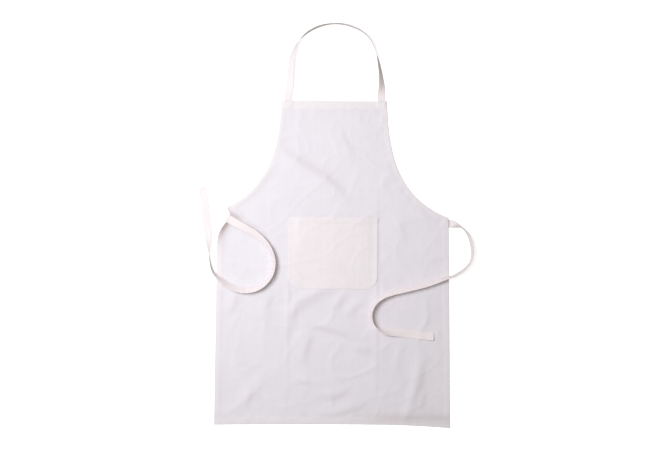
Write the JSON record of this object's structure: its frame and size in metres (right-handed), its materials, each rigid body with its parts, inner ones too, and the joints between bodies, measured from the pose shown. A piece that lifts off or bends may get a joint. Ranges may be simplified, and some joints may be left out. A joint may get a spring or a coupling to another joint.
{
  "type": "bib apron",
  "caption": "Plain cotton bib apron lying front up, with turned hems, a patch pocket, a sewn-in neck strap and two waist ties.",
  "frame": {"origin": "on the underside of the body panel, in the middle of the waist, level with the pocket mouth", "axes": "+X to the right of the apron as seen from its front, +Y from the waist to the neck strap, +Z out of its front"},
  "size_m": [0.7585, 1.1109, 0.0254],
  "materials": {
    "cloth": "matte plain-weave cotton, one layer, natural white",
    "hem": "matte plain-weave cotton, turned twice, reads a little warmer",
    "pocket": "matte plain-weave cotton over the panel, a little warmer",
    "tape": "matte folded cotton tape, creamy white",
    "thread": "spun cotton sewing thread"
  },
  "bodies": {
    "apron": {"body_panel": "cloth", "top_hem": "hem", "bottom_hem": "hem", "left_side_hem": "hem", "right_side_hem": "hem", "left_armhole_hem": "hem", "right_armhole_hem": "hem", "pocket_panel": "pocket", "pocket_hem": "pocket", "neck_strap_sewn_end_left": "tape", "neck_strap_sewn_end_right": "tape", "left_tie": "tape", "right_tie": "tape", "top_stitching": "thread", "bottom_stitching": "thread", "left_side_stitching": "thread", "right_side_stitching": "thread", "left_armhole_stitching": "thread", "right_armhole_stitching": "thread", "pocket_seam_stitching": "thread", "pocket_hem_stitching": "thread", "pocket_bartack_left": "thread", "pocket_bartack_right": "thread", "neck_strap_box_stitch_left": "thread", "neck_strap_box_stitch_right": "thread", "left_tie_stitching": "thread", "right_tie_stitching": "thread"},
    "neck_loop": {"neck_strap": "tape", "neck_strap_stitching": "thread"},
    "left_tie_end": {"left_tie_end": "tape", "left_tie_end_stitching": "thread"},
    "right_tie_end": {"right_tie_end": "tape", "right_tie_end_stitching": "thread"}
  },
  "joints": [
    {"name": "neck_loop_fold", "type": "hinge", "parent": "apron", "child": "neck_loop", "pos_m": [0, 0.32275, 0.0014], "axis": [1, 0, 0], "range_deg": [0, 150]},
    {"name": "left_tie_end_lift", "type": "hinge", "parent": "apron", "child": "left_tie_end", "pos_m": [-0.351, 0.006, 0.0014], "axis": [0.993, 0.118, 0], "range_deg": [0, 150]},
    {"name": "right_tie_end_lift", "type": "hinge", "parent": "apron", "child": "right_tie_end", "pos_m": [0.22, -0.321, 0.0025], "axis": [-0.1106, -0.9939, 0], "range_deg": [0, 150]}
  ]
}
